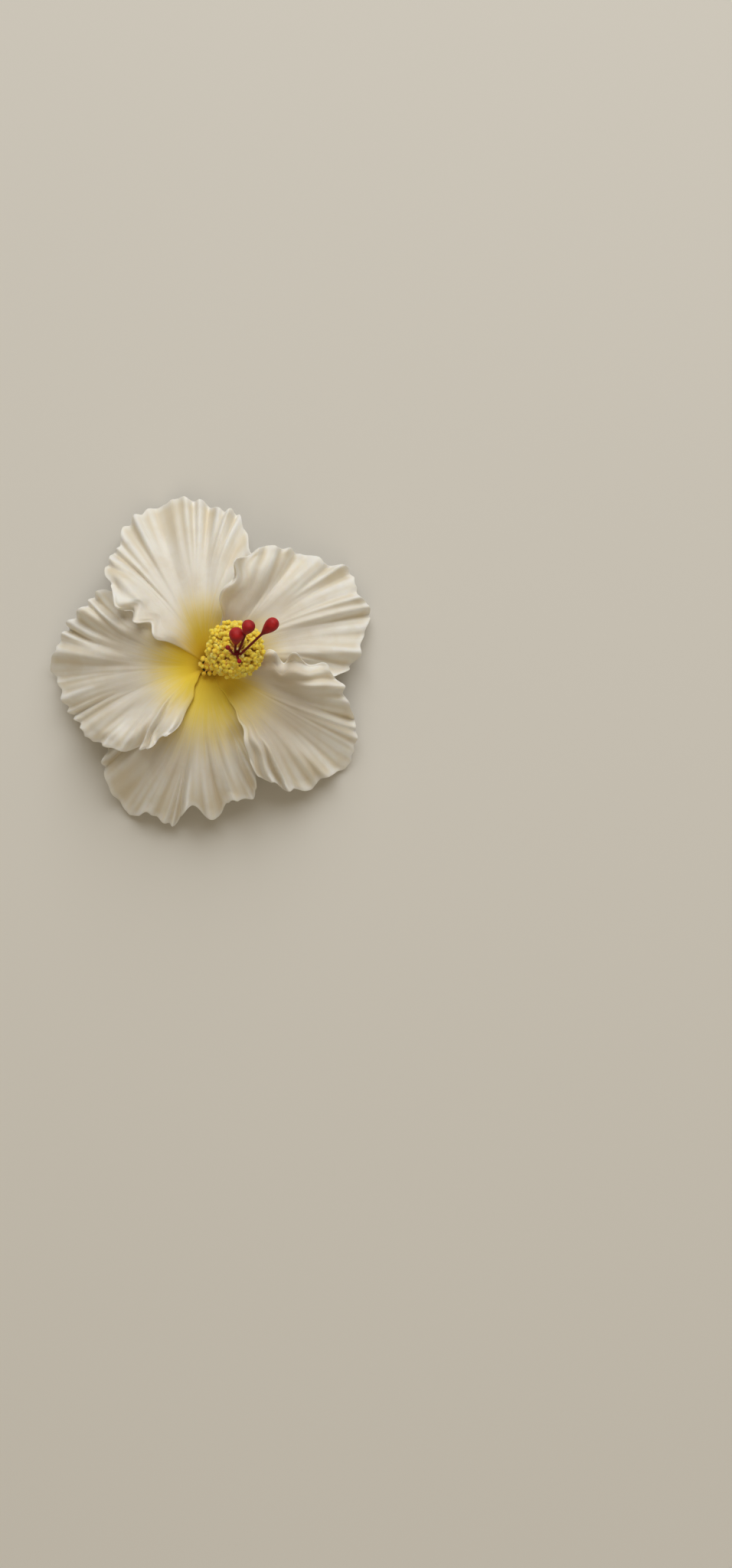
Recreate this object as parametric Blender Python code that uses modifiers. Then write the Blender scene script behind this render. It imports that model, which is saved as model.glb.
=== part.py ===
"""Hibiscus bloom, picked with a short stalk and lying face up on a flat surface.

Metres, +Z up. The origin is on the surface, under the middle of the bloom. The five petals stand on claws
round the throat, rise to a crest and droop until their ruffled margins rest on the surface. They overlap in a
fixed order: each petal is draped over the ones before it in PETALS. The stamens' column leans towards +X.
"""

import math
from dataclasses import dataclass

import bpy
import numpy as np
from mathutils import Vector
from mathutils.bvhtree import BVHTree

MM = 0.001
GAP = 0.3 * MM
THROAT = Vector((0.2 * MM, -1.9 * MM, 0))

PETAL_THICKNESS = 0.8 * MM
PETAL_CLEARANCE = 0.7 * MM
PETAL_COLUMNS = 34
PETAL_ROWS = 13
LIFT_SPREAD = 2
LIFT_PASSES = 14
STEEPEST_FLOOR = 0.35

CLAW_RADIUS = 3.4 * MM
CLAW_HEIGHT = 9.5 * MM
CLAW_SPREAD = 0.62
FAN_POWER = 1.3
EDGE_SHARPNESS = 4
FUNNEL_RISE = 14.0 * MM
FUNNEL_LENGTH = 7.0 * MM
CREST_RADIUS = 17 * MM
RIM_RADIUS = 56 * MM
DROOP_POWER = 1.7
RUFFLE_HEIGHT = 1.9 * MM
RUFFLE_DEGREES = 17
SECOND_RUFFLE_SHARE = 0.35
SECOND_RUFFLE_RATE = 1.7

# Where each part of a petal's shape sets in: as a share of the way out or to the side, or between two radii.
MARGIN_EASE_FROM = 0.6
RUFFLE_FROM = 0.3
LIFT_FROM = 0.2
LIFT_RADII = (5 * MM, 17 * MM)
CUP_RADII = (8 * MM, 38 * MM)

# Routes are points in millimetres from the throat's foot, and a route's radii are in millimetres too.
COLUMN_ROUTE = [
    (0, 0, 10.3),
    (1.2, 0.5, 15),
    (4.2, 1.8, 21),
    (8.2, 3.3, 27),
    (11.0, 3.4, 34.5),
    (12.2, 1.9, 41.5),
]
COLUMN_RADII = [2.3, 2.1, 1.95, 1.85, 1.75, 1.6]
COLUMN_WALL = 0.7 * MM
STYLE_RADIUS = 0.42 * MM
STYLE_OVERHANG = 0.8 * MM

# The anthers cover a dome round the column's upper half, from near its top to just past its widest level.
STAMEN_COUNT = 36
STAMEN_TURN = math.radians(137.5)
DOME_MIDDLE = (10.9, 3.9, 33.0)
DOME_RADIUS = 8.9 * MM
DOME_TOP = math.radians(30)
DOME_FOOT = math.radians(104)
DOME_TILT = Vector((0.086, -0.085, 1)).normalized()
STAMENS_TOP = 0.94
STAMENS_FOOT = 0.56
FILAMENT_RADIUS = 0.26 * MM
ANTHER_RADIUS = 0.95 * MM
# Places along an anther and its width there, both as shares of its radius.
ANTHER_PROFILE = [(-1.0, 0.3), (-0.65, 0.85), (0.0, 1.0), (0.65, 0.85), (1.0, 0.4)]

# Each branch of the style: its name, its pad's middle from the throat, and the pad's half width and length.
# The branches leave the style's end in this order round a ring.
STYLE_BRANCHES = [
    ("style_branch_right", (23.6, 10.9, 48.0), 2.2, 7.0),
    ("style_branch_middle", (16.7, 9.6, 50.5), 2.1, 5.4),
    ("style_branch_left", (12.4, 6.9, 46.8), 2.2, 6.2),
    ("style_branch_short_left", (9.6, 3.2, 45.6), 0.75, 2.0),
    ("style_branch_short_lower", (13.2, -1.0, 44.6), 0.7, 1.8),
]
BRANCH_RADIUS = 0.42 * MM
BRANCH_RING = 1.15 * MM
BRANCH_RING_START = math.radians(-15)
# Places along a pad, as shares of its length, and how far it has swollen there from branch to pad.
PAD_PROFILE = [(0.0, 0.0), (0.15, 0.3), (0.4, 0.8), (0.7, 1.0), (0.9, 0.7), (1.0, 0.0)]

OVARY_BOTTOM = 6.3 * MM
OVARY_HEIGHT = 3.3 * MM
OVARY_RADIUS = 2.3 * MM
OVARY_ROWS = 8
OVARY_COLUMNS = 12

# Distances from the throat's axis and heights, in millimetres, from the calyx's foot to its lobes' tips.
CALYX_PROFILE = [
    (0, 5.2),
    (2.4, 5.5),
    (4.4, 6.6),
    (5.6, 8.6),
    (6.5, 10.8),
    (8.1, 13.0),
    (10.7, 14.8),
    (13.8, 15.9),
]
CALYX_THICKNESS = 0.6 * MM
CALYX_LOBES = 5
CALYX_CLEFT = 3
CALYX_LOBE_POINT = 1.2
CALYX_COLUMNS = 30

BRACTLET_COUNT = 7
BRACTLET_ROUTE = [(2.5, 4.7), (4.6, 4.9), (7.0, 6.2), (9.4, 8.4), (11.4, 11.0)]
BRACTLET_HALF_WIDTHS = [0.75, 0.95, 0.95, 0.7, 0.18]
BRACTLET_THICKNESS = 0.5 * MM

PEDICEL_ROUTE = [
    (0, 0, 4.8),
    (0.1, -0.4, 3.6),
    (0.5, -1.5, 2.4),
    (1.5, -3.8, 1.75),
    (3.2, -7.2, 1.6),
    (5.2, -11.2, 1.5),
]
PEDICEL_RADII = [1.45, 1.3, 1.2, 1.15, 1.1, 1.15]

# How round each tube is, as a curve's bevel resolution.
COLUMN_ROUNDNESS = 3
BRANCH_ROUNDNESS = 2
PEDICEL_ROUNDNESS = 2
THREAD_ROUNDNESS = 1
COLUMN_STEPS = 4
PEDICEL_STEPS = 2


@dataclass
class Petal:
    """Degrees are from the midline, positive anticlockwise. Millimetres are from the throat."""

    name: str
    angle: float
    margin: list
    edge_cw: list
    edge_ccw: list
    droop: float
    cup: float
    lift_cw: float
    lift_ccw: float
    phase: float


PETALS = [
    Petal(
        "petal_bottom",
        angle=262,
        margin=[
            (-44, 42), (-42, 47), (-38, 52), (-28, 58), (-20, 60), (-15, 56), (-6, 58),
            (1, 50), (9, 54), (17, 48), (26, 49), (34, 40), (42, 34),
        ],
        edge_cw=[(3.4, 31), (9, 33), (20, 37), (34, 40)],
        edge_ccw=[(3.4, 29), (9, 34), (14, 41), (30, 42)],
        droop=17.6,
        cup=0.4,
        lift_cw=-0.5,
        lift_ccw=-0.5,
        phase=0.4,
    ),
    Petal(
        "petal_left",
        angle=192,
        margin=[
            (-54, 37), (-44, 46), (-38, 47), (-27, 52), (-19, 54), (-12, 57), (-5, 54),
            (2, 53), (17, 49), (31, 44), (41, 37), (53, 28),
        ],
        edge_cw=[(3.4, 40), (9, 43), (20, 47)],
        edge_ccw=[(3.4, 31), (8, 46), (13, 56), (21, 57)],
        droop=20.1,
        cup=3.4,
        lift_cw=3.2,
        lift_ccw=1.2,
        phase=1.9,
    ),
    Petal(
        "petal_top",
        angle=105,
        margin=[
            (-44, 33), (-37, 41), (-29, 50), (-25, 55), (-19, 55), (-10, 59), (-3, 61),
            (7, 60), (16, 58), (23, 52), (31, 48), (37, 41), (43, 33),
        ],
        edge_cw=[(3.4, 33), (9, 36), (20, 42)],
        edge_ccw=[(3.4, 40), (10, 43), (17, 47), (26, 42)],
        droop=17.0,
        cup=1.0,
        lift_cw=-0.5,
        lift_ccw=1.4,
        phase=3.1,
    ),
    Petal(
        "petal_upper_right",
        angle=32,
        margin=[
            (-44, 37), (-40, 42), (-33, 49), (-28, 53), (-20, 56), (-12, 60), (-6, 58),
            (3, 60), (11, 54), (20, 50), (30, 46), (35, 42), (41, 30),
        ],
        edge_cw=[(3.4, 29), (9, 33), (20, 40)],
        edge_ccw=[(3.4, 33), (9, 36), (17, 38), (24, 41)],
        droop=18.2,
        cup=1.0,
        lift_cw=-0.5,
        lift_ccw=2.0,
        phase=4.6,
    ),
    Petal(
        "petal_lower_right",
        angle=-33,
        margin=[
            (-33, 38), (-32, 43), (-28, 47), (-25, 52), (-17, 56), (-10, 57), (-4, 60),
            (5, 58), (12, 55), (17, 51), (23, 48), (30, 42), (36, 32),
        ],
        edge_cw=[(3.4, 29), (9, 28), (13, 25), (31, 27)],
        edge_ccw=[(3.4, 29), (9, 34), (14, 40), (22, 40), (28, 33)],
        droop=18.2,
        cup=0.6,
        lift_cw=0.6,
        lift_ccw=3.4,
        phase=5.7,
    ),
]


def material(name, colour, roughness):
    """A plain Principled material, for each object of its own."""
    made = bpy.data.materials.new(name)
    made.use_nodes = True
    shader = made.node_tree.nodes["Principled BSDF"]
    shader.inputs["Base Color"].default_value = (*colour, 1)
    shader.inputs["Roughness"].default_value = roughness
    shader.inputs["Metallic"].default_value = 0
    made.diffuse_color = (*colour, 1)
    return made


def petal_material(name):
    return material(name, (0.86, 0.83, 0.74), 0.55)


def anther_material(name):
    return material(name, (0.93, 0.68, 0.08), 0.6)


def column_material(name):
    return material(name, (0.90, 0.78, 0.30), 0.5)


def stigma_material(name):
    return material(name, (0.42, 0.01, 0.02), 0.55)


def green_material(name):
    return material(name, (0.16, 0.30, 0.07), 0.6)


def clear_scene():
    for obj in list(bpy.data.objects):
        bpy.data.objects.remove(obj, do_unlink=True)


def eased(points, at):
    """Values that pass through the points, level at each of them."""
    places = np.array([place for place, _ in points], float)
    values = np.array([value for _, value in points], float)
    at = np.clip(at, places[0], places[-1])
    left = np.clip(np.searchsorted(places, at, side="right") - 1, 0, len(places) - 2)
    share = (at - places[left]) / (places[left + 1] - places[left])
    return values[left] + (values[left + 1] - values[left]) * share**2 * (3 - 2 * share)


def ramp(value, start, end):
    """0 before start, 1 after end and smooth between them."""
    share = np.clip((value - start) / (end - start), 0, 1)
    return share**2 * (3 - 2 * share)


def petal_places(petal, across, reach):
    """Angle from the midline in degrees and distance from the throat, over the petal's grid."""
    half = np.where(across < 0, -petal.margin[0][0], petal.margin[-1][0])
    length = eased(petal.margin, across * half) * MM
    radius = CLAW_RADIUS + (length - CLAW_RADIUS) * reach
    fan = half * (1 - (1 - CLAW_SPREAD) * (1 - reach) ** FAN_POWER)
    side_edges = (eased(petal.edge_cw, radius / MM), eased(petal.edge_ccw, radius / MM))
    edge = np.where(across < 0, *side_edges)
    edge = edge + (half - edge) * ramp(reach, MARGIN_EASE_FROM, 1)
    degrees = across * (fan + (edge - fan) * np.abs(across) ** EDGE_SHARPNESS)
    return degrees, radius


def petal_heights(petal, across, reach, degrees, radius):
    """Heights of the petal's face: a funnel at the claw, a crest, then a ruffled droop."""
    funnel = CLAW_HEIGHT + FUNNEL_RISE * (1 - np.exp((CLAW_RADIUS - radius) / FUNNEL_LENGTH))
    past_crest = np.clip((radius - CREST_RADIUS) / (RIM_RADIUS - CREST_RADIUS), 0, None)
    droop = petal.droop * MM * past_crest**DROOP_POWER
    side = np.where(across < 0, petal.lift_cw, petal.lift_ccw) * ramp(np.abs(across), LIFT_FROM, 1)
    lift = side * MM * ramp(radius, *LIFT_RADII)
    cup = petal.cup * MM * across**2 * ramp(radius, *CUP_RADII)
    turn = 2 * math.pi * degrees / RUFFLE_DEGREES + petal.phase
    waves = np.sin(turn) + SECOND_RUFFLE_SHARE * np.sin(SECOND_RUFFLE_RATE * turn + petal.phase)
    ruffle = RUFFLE_HEIGHT * waves * ramp(reach, RUFFLE_FROM, 1)
    return funnel - droop + lift + cup + ruffle


def heights_below(trees, places):
    """For each place, the height that a petal above it must keep, or nothing where no petal lies below."""
    wanted = np.full(len(places), -np.inf)
    down = Vector((0, 0, -1))
    for index, place in enumerate(places):
        start = Vector((place[0], place[1], 1))
        for tree in trees:
            hit, normal, _, _ = tree.ray_cast(start, down)
            if hit is None:
                continue
            clearance = (PETAL_THICKNESS + PETAL_CLEARANCE) / max(abs(normal.z), STEEPEST_FLOOR)
            wanted[index] = max(wanted[index], hit.z + clearance)
    return wanted


def neighbours(grid):
    """The grid and its four neighbours, stacked."""
    padded = np.pad(grid, 1, mode="edge")
    sides = [padded[:-2, 1:-1], padded[2:, 1:-1], padded[1:-1, :-2], padded[1:-1, 2:]]
    return np.stack([grid, *sides])


def draped(heights, wanted):
    """The heights, raised to clear what is wanted, with the rise spread smoothly over the petal."""
    needed = np.clip(wanted - heights, 0, None)
    for _ in range(LIFT_SPREAD):
        needed = neighbours(needed).max(axis=0)
    lift = needed
    for _ in range(LIFT_PASSES):
        lift = np.maximum(needed, neighbours(lift).mean(axis=0))
    return heights + lift


def petal_grid(petal, trees):
    """The petal's face as rows of points, from its claw to its margin."""
    rows = np.linspace(0, 1, PETAL_ROWS)
    columns = np.linspace(-1, 1, PETAL_COLUMNS)
    reach, across = np.meshgrid(rows, columns, indexing="ij")
    degrees, radius = petal_places(petal, across, reach)
    heights = petal_heights(petal, across, reach, degrees, radius)
    angle = np.radians(petal.angle + degrees)
    x = THROAT.x + radius * np.cos(angle)
    y = THROAT.y + radius * np.sin(angle)
    wanted = heights_below(trees, np.stack([x.ravel(), y.ravel()], axis=1)).reshape(x.shape)
    return np.stack([x, y, draped(heights, wanted)], axis=-1)


def grid_faces(rows, columns, around=False):
    """Quads between neighbouring rows of points, joined round when the rows close on themselves."""
    faces = []
    for row in range(rows - 1):
        for column in range(columns if around else columns - 1):
            after = (column + 1) % columns
            near = row * columns
            far = near + columns
            faces.append((near + column, near + after, far + after, far + column))
    return faces


def mesh_object(name, points, faces, paint, collection):
    mesh = bpy.data.meshes.new(name)
    mesh.from_pydata([tuple(point) for point in points], [], faces)
    mesh.shade_smooth()
    mesh.materials.append(paint)
    obj = bpy.data.objects.new(name, mesh)
    collection.objects.link(obj)
    return obj


def thicken(obj, thickness, offset):
    solid = obj.modifiers.new("Thickness", "SOLIDIFY")
    solid.thickness = thickness
    solid.offset = offset


def make_petal(petal, trees, collection):
    """A petal's sheet, its thickness below its face. The trees gain its face, for the next petals."""
    grid = petal_grid(petal, trees)
    points = [Vector(point) for point in grid.reshape(-1, 3)]
    faces = [face[::-1] for face in grid_faces(PETAL_ROWS, PETAL_COLUMNS)]
    obj = mesh_object(petal.name, points, faces, petal_material(petal.name), collection)
    thicken(obj, PETAL_THICKNESS, -1)
    trees.append(BVHTree.FromPolygons(points, faces))


def from_throat(point):
    """A point given in millimetres from the throat's foot, in metres."""
    return THROAT + Vector(point) * MM


def spline_through(points, values, steps):
    """Points and values along a smooth curve through the given ones."""
    before = [points[0] * 2 - points[1], *points, points[-1] * 2 - points[-2]]
    smooth_points = []
    smooth_values = []
    for index in range(len(points) - 1):
        a, b, c, d = before[index : index + 4]
        for step in range(steps):
            t = step / steps
            slope = (c - a) * t
            bend = (2 * a - 5 * b + 4 * c - d) * t**2
            twist = (3 * b - a - 3 * c + d) * t**3
            smooth_points.append(b + (slope + bend + twist) / 2)
            smooth_values.append(values[index] + (values[index + 1] - values[index]) * t)
    return [*smooth_points, points[-1]], [*smooth_values, values[-1]]


def tube(name, points, radii, roundness, paint, collection, capped=True):
    """A tube along the points, whose thickness follows the radii."""
    curve = bpy.data.curves.new(name, "CURVE")
    curve.dimensions = "3D"
    curve.bevel_depth = 1
    curve.bevel_resolution = roundness
    curve.use_fill_caps = capped
    spline = curve.splines.new("POLY")
    spline.points.add(len(points) - 1)
    for spot, point, radius in zip(spline.points, points, radii):
        spot.co = (*point, 1)
        spot.radius = radius
    curve.materials.append(paint)
    obj = bpy.data.objects.new(name, curve)
    collection.objects.link(obj)
    return obj


def column_curve():
    """The middle line of the staminal column and its radius at each point."""
    points = [from_throat(point) for point in COLUMN_ROUTE]
    return spline_through(points, [radius * MM for radius in COLUMN_RADII], COLUMN_STEPS)


def make_column(collection):
    points, radii = column_curve()
    paint = column_material("staminal_column")
    column = tube("staminal_column", points, radii, COLUMN_ROUNDNESS, paint, collection, capped=False)
    thicken(column, COLUMN_WALL, -1)


def make_style(collection):
    """The thread up the column's bore, from just above the ovary to just past the column's tip."""
    points, _ = column_curve()
    tip_direction = (points[-1] - points[-2]).normalized()
    foot = Vector((THROAT.x, THROAT.y, OVARY_BOTTOM + OVARY_HEIGHT + GAP))
    route = [foot, *points[1:], points[-1] + tip_direction * STYLE_OVERHANG]
    radii = [STYLE_RADIUS] * len(route)
    tube("style", route, radii, THREAD_ROUNDNESS, column_material("style"), collection)


def make_style_branch(order, name, pad_middle, pad_radius, pad_length, collection):
    """A thin red branch from the style's end that swells into its stigma pad."""
    points, _ = column_curve()
    tip_direction = (points[-1] - points[-2]).normalized()
    turn = BRANCH_RING_START + 2 * math.pi * order / len(STYLE_BRANCHES)
    ring = Vector((math.cos(turn), math.sin(turn), 0)) * BRANCH_RING
    start = points[-1] + tip_direction * (STYLE_OVERHANG + GAP) + ring
    middle = from_throat(pad_middle)
    along = (middle - start).normalized()
    neck = middle - along * pad_length * MM / 2
    bulge = pad_radius * MM - BRANCH_RADIUS
    route = [start, *(neck + along * pad_length * MM * place for place, _ in PAD_PROFILE)]
    radii = [BRANCH_RADIUS, *(BRANCH_RADIUS + bulge * swell for _, swell in PAD_PROFILE)]
    tube(name, route, radii, BRANCH_ROUNDNESS, stigma_material(name), collection)


def along_column(share):
    """A point of the column's middle line, its direction and its radius, at a share of its length."""
    points, radii = column_curve()
    place = share * (len(points) - 1)
    index = min(int(place), len(points) - 2)
    middle = points[index].lerp(points[index + 1], place - index)
    return middle, (points[index + 1] - points[index]).normalized(), radii[index]


def make_stamen(number, collection):
    """A filament from the column's side to its place on the dome, with its round anther, as one piece."""
    share = (number - 0.5) / STAMEN_COUNT
    height = math.cos(DOME_TOP) + (math.cos(DOME_FOOT) - math.cos(DOME_TOP)) * share
    turn = number * STAMEN_TURN
    side = Vector((math.cos(turn), math.sin(turn), 0)) * math.sqrt(1 - height**2)
    anther = from_throat(DOME_MIDDLE) + (side + DOME_TILT * height) * DOME_RADIUS
    middle, axis, radius = along_column(STAMENS_TOP + (STAMENS_FOOT - STAMENS_TOP) * share)
    outward = anther - middle
    outward = (outward - axis * outward.dot(axis)).normalized()
    start = middle + outward * (radius + 2 * GAP)
    along = (anther - start).normalized()
    route = [start, *(anther + along * ANTHER_RADIUS * place for place, _ in ANTHER_PROFILE)]
    radii = [FILAMENT_RADIUS, *(ANTHER_RADIUS * width for _, width in ANTHER_PROFILE)]
    name = f"stamen_{number:02d}"
    tube(name, route, radii, THREAD_ROUNDNESS, anther_material(name), collection)


def make_ovary(collection):
    """An egg-shaped ovary, turned from its profile, which runs from top to bottom."""
    profile = []
    for turn in np.linspace(math.pi, 0, OVARY_ROWS + 1):
        height = OVARY_BOTTOM + OVARY_HEIGHT * (1 - math.cos(turn)) / 2
        profile.append((OVARY_RADIUS * math.sin(turn), 0, height))
    mesh = bpy.data.meshes.new("ovary")
    mesh.from_pydata(profile, [(index, index + 1) for index in range(OVARY_ROWS)], [])
    mesh.materials.append(green_material("ovary"))
    obj = bpy.data.objects.new("ovary", mesh)
    obj.location = THROAT
    collection.objects.link(obj)
    screw = obj.modifiers.new("Turn", "SCREW")
    screw.steps = OVARY_COLUMNS
    screw.render_steps = OVARY_COLUMNS
    screw.use_merge_vertices = True
    screw.merge_threshold = 0.01 * MM


def calyx_share(angle):
    """How far up the calyx's profile its edge reaches: to the end at a lobe's tip, less at a cleft."""
    lobe = abs(math.cos(angle * CALYX_LOBES / 2)) ** CALYX_LOBE_POINT
    last = len(CALYX_PROFILE) - 1
    return (CALYX_CLEFT + (last - CALYX_CLEFT) * lobe) / last


def make_calyx(collection):
    """The five-lobed cup behind the petals."""
    rows = len(CALYX_PROFILE) - 1
    steps = np.arange(len(CALYX_PROFILE))
    points = []
    for row in range(1, rows + 1):
        for column in range(CALYX_COLUMNS):
            angle = 2 * math.pi * column / CALYX_COLUMNS
            place = row * calyx_share(angle)
            radius = np.interp(place, steps, [spot[0] for spot in CALYX_PROFILE])
            height = np.interp(place, steps, [spot[1] for spot in CALYX_PROFILE])
            points.append(from_throat((radius * math.cos(angle), radius * math.sin(angle), height)))
    faces = grid_faces(rows, CALYX_COLUMNS, around=True)
    foot = len(points)
    points.append(from_throat((0, 0, CALYX_PROFILE[0][1])))
    faces += [(foot, (column + 1) % CALYX_COLUMNS, column) for column in range(CALYX_COLUMNS)]
    calyx = mesh_object("calyx", points, faces, green_material("calyx"), collection)
    thicken(calyx, CALYX_THICKNESS, -1)


def make_bractlet(number, collection):
    """A narrow leaf of the epicalyx, curving out and up below the calyx."""
    turn = 2 * math.pi * (number - 1) / BRACTLET_COUNT
    outward = Vector((math.cos(turn), math.sin(turn), 0))
    sideways = Vector((-math.sin(turn), math.cos(turn), 0))
    points = []
    for (radius, height), half_width in zip(BRACTLET_ROUTE, BRACTLET_HALF_WIDTHS):
        middle = from_throat((0, 0, height)) + outward * radius * MM
        points += [middle - sideways * half_width * MM, middle, middle + sideways * half_width * MM]
    name = f"bractlet_{number}"
    faces = grid_faces(len(BRACTLET_ROUTE), 3)
    leaf = mesh_object(name, points, faces, green_material(name), collection)
    thicken(leaf, BRACTLET_THICKNESS, 0)


def make_pedicel(collection):
    """The short cut stalk, bent so that it lies under the bloom."""
    points = [from_throat(point) for point in PEDICEL_ROUTE]
    points, radii = spline_through(points, [radius * MM for radius in PEDICEL_RADII], PEDICEL_STEPS)
    tube("pedicel", points, radii, PEDICEL_ROUNDNESS, green_material("pedicel"), collection)


def main():
    clear_scene()
    flower = bpy.data.collections.new("hibiscus_flower")
    bpy.context.scene.collection.children.link(flower)
    trees = []
    for petal in PETALS:
        make_petal(petal, trees, flower)
    make_column(flower)
    make_style(flower)
    for order, branch in enumerate(STYLE_BRANCHES):
        make_style_branch(order, *branch, flower)
    for number in range(1, STAMEN_COUNT + 1):
        make_stamen(number, flower)
    make_ovary(flower)
    make_calyx(flower)
    for number in range(1, BRACTLET_COUNT + 1):
        make_bractlet(number, flower)
    make_pedicel(flower)


main()
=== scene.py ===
"""The looks of the hibiscus bloom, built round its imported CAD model.

Metres, +Z up, in the CAD model's frame: the bloom lies face up with the surface at z = 0. Every node is
replaced by a finer piece: petals with pleated, ruffled margins, velvety stigmas, a ribbed calyx and so on.
One more piece holds the stamens that the CAD model leaves out.
"""

import math
import random
from dataclasses import dataclass, field

import bpy
import numpy as np
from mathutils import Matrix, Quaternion, Vector
from mathutils.bvhtree import BVHTree


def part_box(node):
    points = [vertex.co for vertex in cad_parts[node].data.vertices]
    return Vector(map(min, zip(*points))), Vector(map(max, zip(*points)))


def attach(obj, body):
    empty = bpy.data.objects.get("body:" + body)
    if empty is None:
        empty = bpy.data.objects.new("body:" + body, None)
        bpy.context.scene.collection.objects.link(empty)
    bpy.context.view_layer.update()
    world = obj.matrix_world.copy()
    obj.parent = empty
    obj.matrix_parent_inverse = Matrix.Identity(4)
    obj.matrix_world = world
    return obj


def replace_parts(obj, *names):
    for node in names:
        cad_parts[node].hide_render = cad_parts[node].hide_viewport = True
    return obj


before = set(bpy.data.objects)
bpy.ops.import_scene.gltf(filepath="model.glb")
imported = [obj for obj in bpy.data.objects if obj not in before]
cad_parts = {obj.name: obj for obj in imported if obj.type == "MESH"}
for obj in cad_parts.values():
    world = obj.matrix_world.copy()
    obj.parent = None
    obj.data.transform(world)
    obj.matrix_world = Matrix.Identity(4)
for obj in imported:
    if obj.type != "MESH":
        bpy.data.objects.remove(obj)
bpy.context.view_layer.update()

MM = 0.001

# Keeps a length of nothing from being divided by.
TINY = 1e-12

PETAL_ROWS = 100
PETAL_COLUMNS = 170
PETAL_THICKNESS = 0.75 * MM
MARGIN_THICKNESS = 0.3 * MM
THINNING_FROM = 0.6
RIM_STEPS = 4
# Passes that smooth the normals which a petal's lower face follows.
NORMAL_BLUR = 40

# Draping a petal over the ones below: its clearance, and the passes that widen, spread and smooth its lift.
PETAL_CLEARANCE = 0.45 * MM
STEEPEST_FLOOR = 0.35
RAY_START = 1.0
LIFT_WIDENING = 7
LIFT_SPREADING = 420
LIFT_SMOOTHING = 16

# The petal's fan: its share of the full angle at the claw, and how it opens to its margin.
CLAW_RADIUS = 3.4 * MM
CLAW_HEIGHT = 9.5 * MM
CLAW_SPREAD = 0.46
FAN_POWER = 1.15
EDGE_SHARPNESS = 4
MARGIN_EASE_FROM = 0.6

# The petal's height: a funnel, a crest, a droop from the crest to the rim, and lifted sides.
FUNNEL_RISE = 14.0 * MM
FUNNEL_LENGTH = 7.0 * MM
CREST_RADIUS = 17 * MM
RIM_RADIUS = 56 * MM
DROOP_POWER = 1.7
LIFT_FROM = 0.2
LIFT_RADII = (5 * MM, 17 * MM)
CUP_RADII = (8 * MM, 38 * MM)
RUFFLE_HEIGHT = 1.9 * MM
RUFFLE_DEGREES = 17
RUFFLE_FROM = 0.3
SECOND_RUFFLE_SHARE = 0.35
SECOND_RUFFLE_RATE = 1.7

# Pleats, from broad to fine: degrees apart, height, where along the petal they start and are full, and the
# swing of their strength. A swing is what swing() takes: a sine's size, the degrees that turn it by a
# radian, and how many of the petal's own phases it starts at.
PLEATS = [
    (13.5, 2.1 * MM, 0.34, 1.0, (0.42, 9, 2)),
    (6.8, 2.9 * MM, 0.52, 1.0, (0.42, 7, 3)),
    (3.3, 0.5 * MM, 0.45, 0.95, (0.42, 5, 4)),
]
PLEAT_STRENGTH = 0.7
PLEAT_BEND = (3.5, 8, 1)
PLEAT_START_SWING = (0.13, 4.3, 4)
# As shares of the pleats' spacing.
PLEAT_WANDERS = [(0.4, 6.1, 3), (0.2, 2.7, 5)]
VALLEY_ROUNDING = 0.3
LIP_HEIGHT = 1.0 * MM
LIP_FROM = 0.92

# The far margin's scallops, which follow its pleats, and the small tips where the scallops are shallow.
SCALLOP_DEGREES = PLEATS[1][0]
SCALLOP_DEPTH = 1.2 * MM
SCALLOP_LEVEL = 0.6
SCALLOP_STRENGTH = 0.75
SCALLOP_SWING = (0.6, 5.3, 4)
TIP_DEGREES = 4.7
TIP_WANDER_DEGREES = 3
TIP_DEPTH = 0.55 * MM
TIP_SHARPNESS = 4
TIP_STRENGTH = 1.2

# The side margins' frill: where across the petal and at what radii it starts and is full, its level and
# swing up and down, its swing in and out, and how uneven its waves are.
FRILL_FROM = 0.62
FRILL_RADII = (12 * MM, 22 * MM)
FRILL_LEVEL = 0.6
FRILL_SWING = 0.4
FRILL_SCALLOP = 0.42
FRILL_UNEVENNESS = 0.12
FRILL_UNEVEN_RATE = 2.3

# Where the painted highlight on the rim starts along and across the petal, where along it the highlight on
# the side rims starts and is full, and where the painted shade over the inner petal fades and is gone.
RIM_REACH = 0.95
RIM_ACROSS = 0.96
SIDE_RIM_REACHES = (0.3, 0.7)
PAINTED_SHADE_REACHES = (0.5, 0.95)

# Routes and middles are in millimetres from the point of the surface under the throat.
COLUMN_ROUTE = [
    (0, 0, 10.3), (1.2, 0.5, 15), (4.2, 1.8, 21), (8.2, 3.3, 27), (11.0, 3.4, 34.5), (12.2, 1.9, 41.5),
]
COLUMN_RADII = [2.3, 2.1, 1.95, 1.85, 1.75, 1.6]
COLUMN_STEPS = 8
COLUMN_SIDES = 24
COLUMN_WALL = 0.7 * MM
# The column's lip: how far it rises past the tip, and its radius as a share of the tip's.
COLUMN_LIP = [(0.35 * MM, 0.8), (0.45 * MM, 0.6)]
STYLE_RADIUS = 0.42 * MM
STYLE_SIDES = 12
STYLE_OVERHANG = 0.8 * MM
GAP = 0.3 * MM

STAMEN_SEED = 7
STAMEN_TURN = math.radians(137.5)
CAD_STAMENS = 36
DOME_MIDDLE = (10.9, 3.9, 33.0)
DOME_RADIUS = 8.9 * MM
DOME_TOP = math.radians(30)
DOME_FOOT = math.radians(104)
DOME_TILT = Vector((0.086, -0.085, 1)).normalized()
# Where on the column the dome's stamens start, as shares of its length.
STAMENS_TOP = 0.94
STAMENS_FOOT = 0.56
# The stamens between the CAD model's, at these shares of the dome's radius in turn and a little astray.
MORE_STAMENS = 460
MORE_TOP = math.radians(20)
MORE_SHRINKS = (1.03, 0.97, 0.9)
MORE_JITTER = 0.75 * MM
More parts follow.
